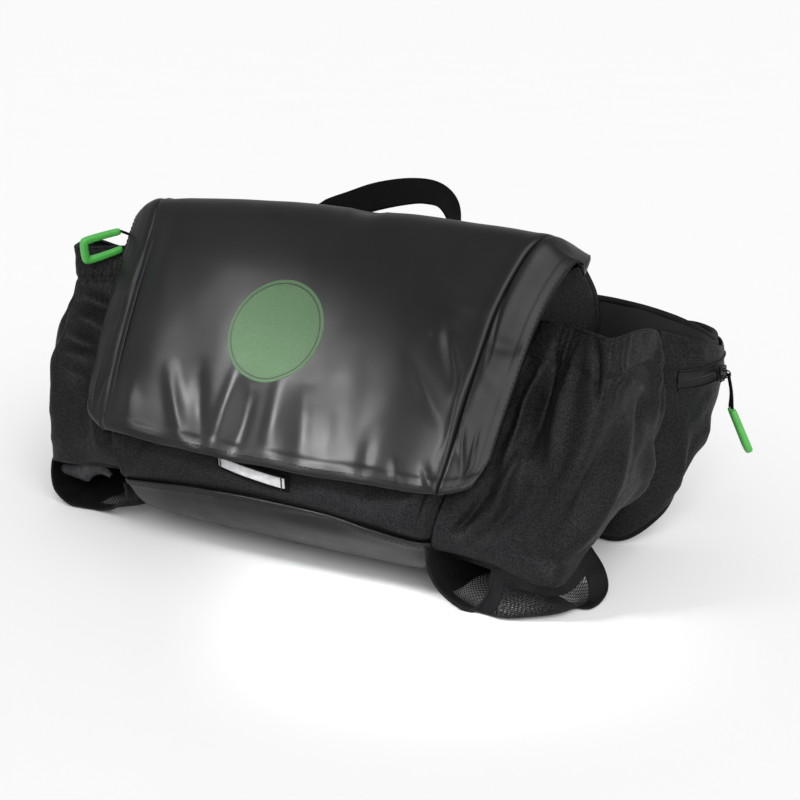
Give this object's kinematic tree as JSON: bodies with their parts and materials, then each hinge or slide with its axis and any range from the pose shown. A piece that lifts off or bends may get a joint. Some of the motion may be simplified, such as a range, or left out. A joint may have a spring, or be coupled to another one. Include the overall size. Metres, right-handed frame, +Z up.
{
  "type": "bum bag",
  "caption": "Wedge-shaped lumbar bag with a wide coated flap, side bottle pockets over mesh slings, padded hip wings with zip pockets, and a webbing belt.",
  "frame": {"origin": "on the surface that the bag stands on, on its flat base, under the ridge of the flap and midway between its sides", "axes": "+X across the bag towards the viewer's right as seen from its front, -Y towards the front with the flap and badge, +Y towards the wearer, +Z up"},
  "size_m": [0.5032, 0.2977, 0.2226],
  "materials": {
    "coated_cloth": "semi-gloss coated",
    "textured_nylon": "matt, fine texture",
    "padded_cloth": "matt",
    "mesh": "open net",
    "binding_tape": "matt ribbed",
    "webbing": "matt woven",
    "badge_green": "satin",
    "reflective_tape": "silver, satin",
    "zip_tape": "matt coated",
    "slider_metal": "black, satin",
    "buckle_plastic": "black, satin",
    "grip_green": "satin"
  },
  "bodies": {
    "root": {"back_pad": "padded_cloth", "base_panel": "coated_cloth", "belt_buckle": "buckle_plastic", "belt_left": "webbing", "belt_right": "webbing", "body_pull_cord": "webbing", "body_pull_grip": "grip_green", "body_slider": "slider_metal", "bottle_pocket_left": "textured_nylon", "bottle_pocket_right": "textured_nylon", "flap_badge": "badge_green", "flap_panel": "coated_cloth", "flap_strip_left": "coated_cloth", "flap_strip_right": "coated_cloth", "grab_handle": "webbing", "light_loop": "reflective_tape", "main_body": "textured_nylon", "pocket_sling_left": "mesh", "pocket_sling_right": "mesh", "pull_cord_left": "webbing", "pull_cord_right": "webbing", "pull_grip_left": "grip_green", "pull_grip_right": "grip_green", "sling_binding_front_left": "binding_tape", "sling_binding_front_right": "binding_tape", "sling_binding_rear_left": "binding_tape", "sling_binding_rear_right": "binding_tape", "wing_left": "padded_cloth", "wing_pocket_left": "textured_nylon", "wing_pocket_right": "textured_nylon", "wing_right": "padded_cloth", "wing_zip_left": "zip_tape", "wing_zip_right": "zip_tape", "zip_slider_left": "slider_metal", "zip_slider_right": "slider_metal"}
  },
  "joints": []
}
